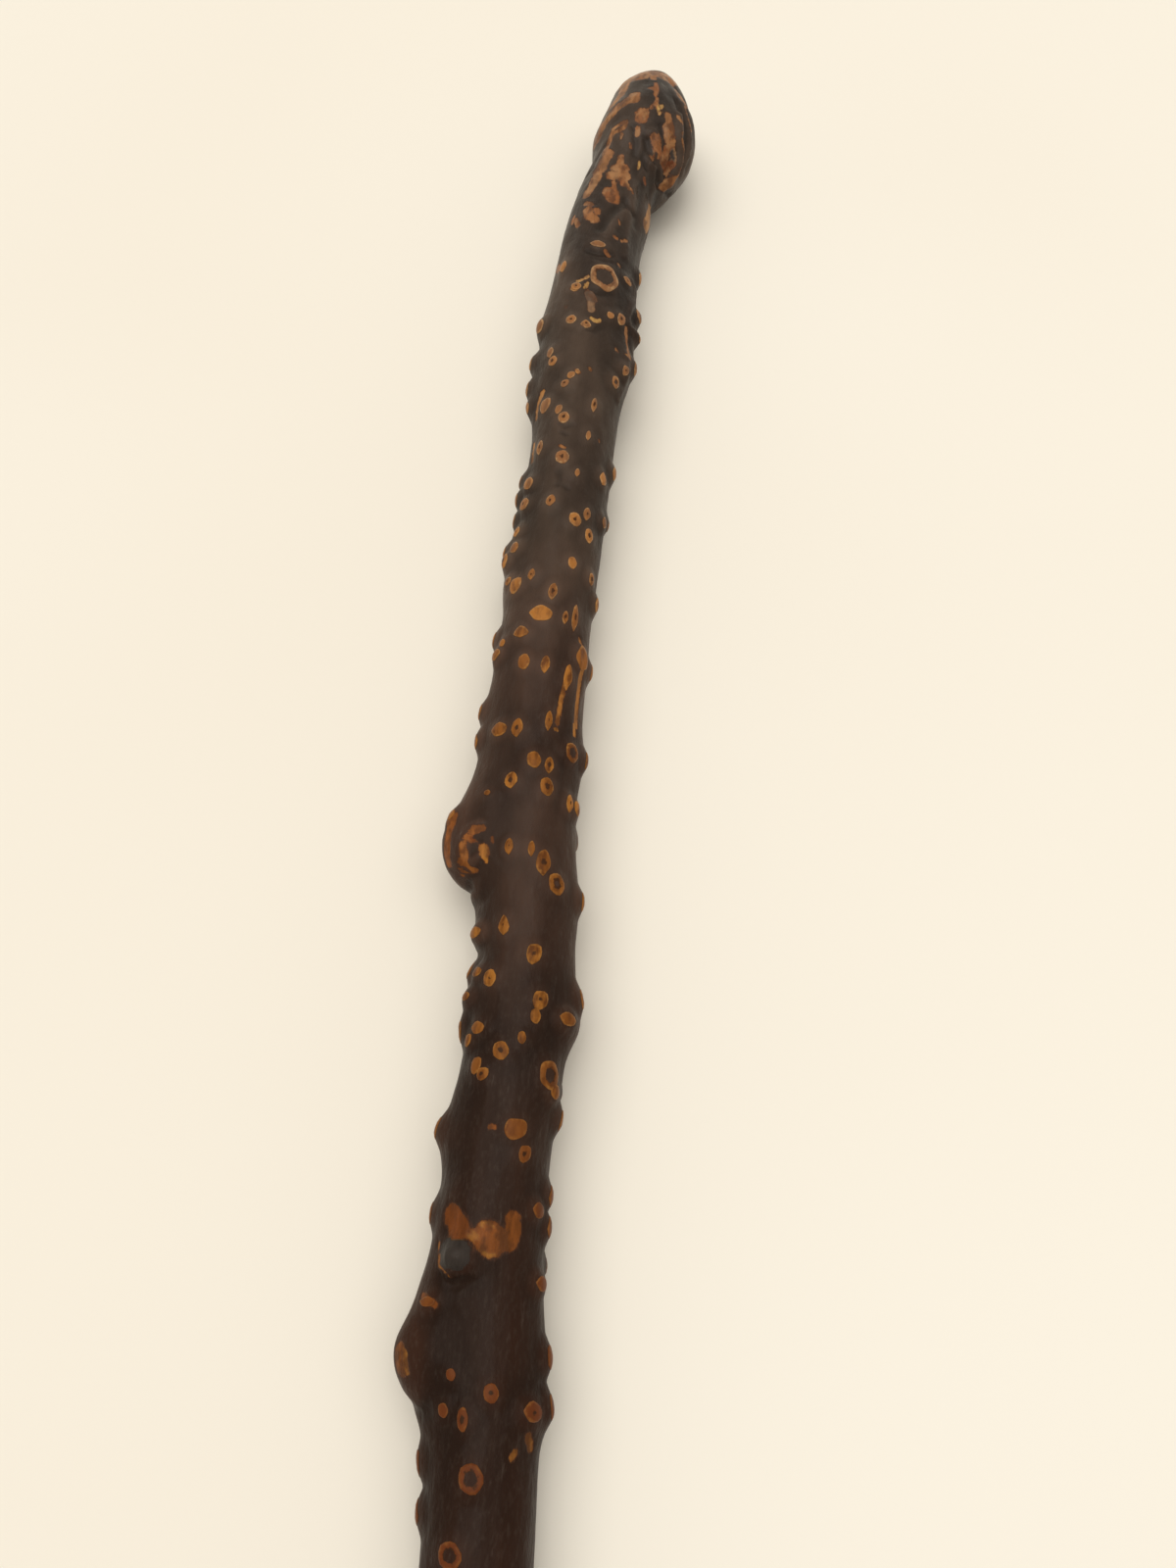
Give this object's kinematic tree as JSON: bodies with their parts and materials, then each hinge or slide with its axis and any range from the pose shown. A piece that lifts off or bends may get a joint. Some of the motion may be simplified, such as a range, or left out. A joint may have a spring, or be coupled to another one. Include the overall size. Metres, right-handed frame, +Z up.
{
  "type": "shillelagh walking stick",
  "caption": "Knobbed natural-wood walking stick with its bark on: root knob for the hand, gently bent shaft with trimmed thorn stubs, pinned brass ferrule and steel tip.",
  "frame": {"origin": "on the table under the middle of the stick's box as it lies", "axes": "+X from the foot to the crown of the knob, +Z up from the table"},
  "size_m": [0.9, 0.0609, 0.0351],
  "materials": {
    "wood": "satin",
    "bark": "satin varnish",
    "stub_wood": "satin varnish",
    "brass": "worn satin",
    "steel": "worn"
  },
  "bodies": {
    "root": {"wood_core": "wood", "bark": "bark", "thorn_stubs": "stub_wood", "ferrule": "brass", "ferrule_pins": "brass", "ferrule_tip": "steel"}
  },
  "joints": []
}
